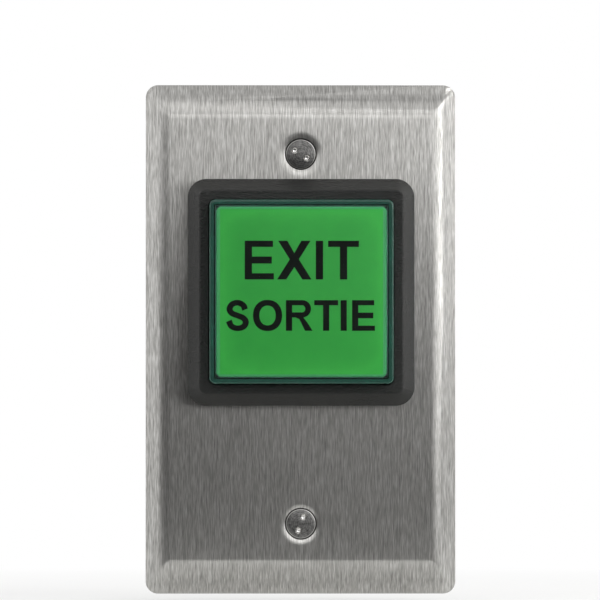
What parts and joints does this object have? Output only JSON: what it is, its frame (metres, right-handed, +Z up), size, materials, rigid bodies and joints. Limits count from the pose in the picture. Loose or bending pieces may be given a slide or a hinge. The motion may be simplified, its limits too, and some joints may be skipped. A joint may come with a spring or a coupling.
{
  "type": "door exit button",
  "caption": "Wall-plate door exit button: square lit push cap in a bevelled bezel on a pressed steel plate, with a lamp and a snap switch behind.",
  "frame": {"origin": "on the wall plane, midway between the two plate screws", "axes": "+Y into the wall, +X to the right and +Z up as seen from the front"},
  "size_m": [0.07, 0.0666, 0.115],
  "materials": {
    "brushed_steel_plate": "brushed",
    "screw_steel": "turned",
    "black_bezel_plastic": "fine texture",
    "clear_lens": "polished, tinted green",
    "green_legend": "smooth",
    "white_diffuser": "frosted",
    "white_plastic": "moulded",
    "black_plastic": "moulded",
    "red_plastic": "moulded",
    "spring_steel": "drawn wire",
    "brass": "stamped",
    "tinned_brass": "tinned",
    "lamp_resin": "milky, clear"
  },
  "bodies": {
    "base": {"faceplate": "brushed_steel_plate", "plate_screws": "screw_steel", "bezel_housing": "black_bezel_plastic", "panel_nut": "black_plastic", "return_spring": "spring_steel", "lamp_holder": "black_plastic", "led_lamp_base": "white_plastic", "led_lamp_dome": "lamp_resin", "lamp_leads": "tinned_brass", "lamp_terminals": "tinned_brass", "switch_case": "black_plastic", "switch_cover": "black_plastic", "snap_spring": "brass", "terminal_common": "tinned_brass", "terminal_normally_open": "tinned_brass", "terminal_normally_closed": "tinned_brass"},
    "button": {"lens_cap": "clear_lens", "legend_plate": "green_legend", "diffuser": "white_diffuser", "plunger": "black_plastic"},
    "lever": {"switch_lever": "spring_steel"},
    "pin": {"switch_pin": "red_plastic"},
    "blade": {"contact_blade": "brass"}
  },
  "joints": [
    {"name": "button_press", "type": "slide", "parent": "base", "child": "button", "axis": [0, 1, 0], "range_m": [0, 0.0035], "stiffness_N_per_m": 600, "springref_m": -0.0035, "deforming": ["return_spring", "snap_spring"]},
    {"name": "lever_tilt", "type": "hinge", "parent": "base", "child": "lever", "pos_m": [0.0108, 0.0262, 0.0304], "axis": [1, 0, 0], "range_deg": [0, 10.2]},
    {"name": "pin_press", "type": "slide", "parent": "base", "child": "pin", "axis": [0, 1, 0], "range_m": [0, 0.00145]},
    {"name": "blade_swing", "type": "hinge", "parent": "base", "child": "blade", "pos_m": [0.0108, 0.03433, 0.0269], "axis": [1, 0, 0], "range_deg": [0, 2.6]}
  ],
  "couplings": [
    {"joint": "lever_tilt", "follows": "button_press", "rad_per_m": 50},
    {"joint": "pin_press", "follows": "button_press", "ratio": 0.4},
    {"joint": "blade_swing", "follows": "button_press", "rad_per_m": 12}
  ]
}
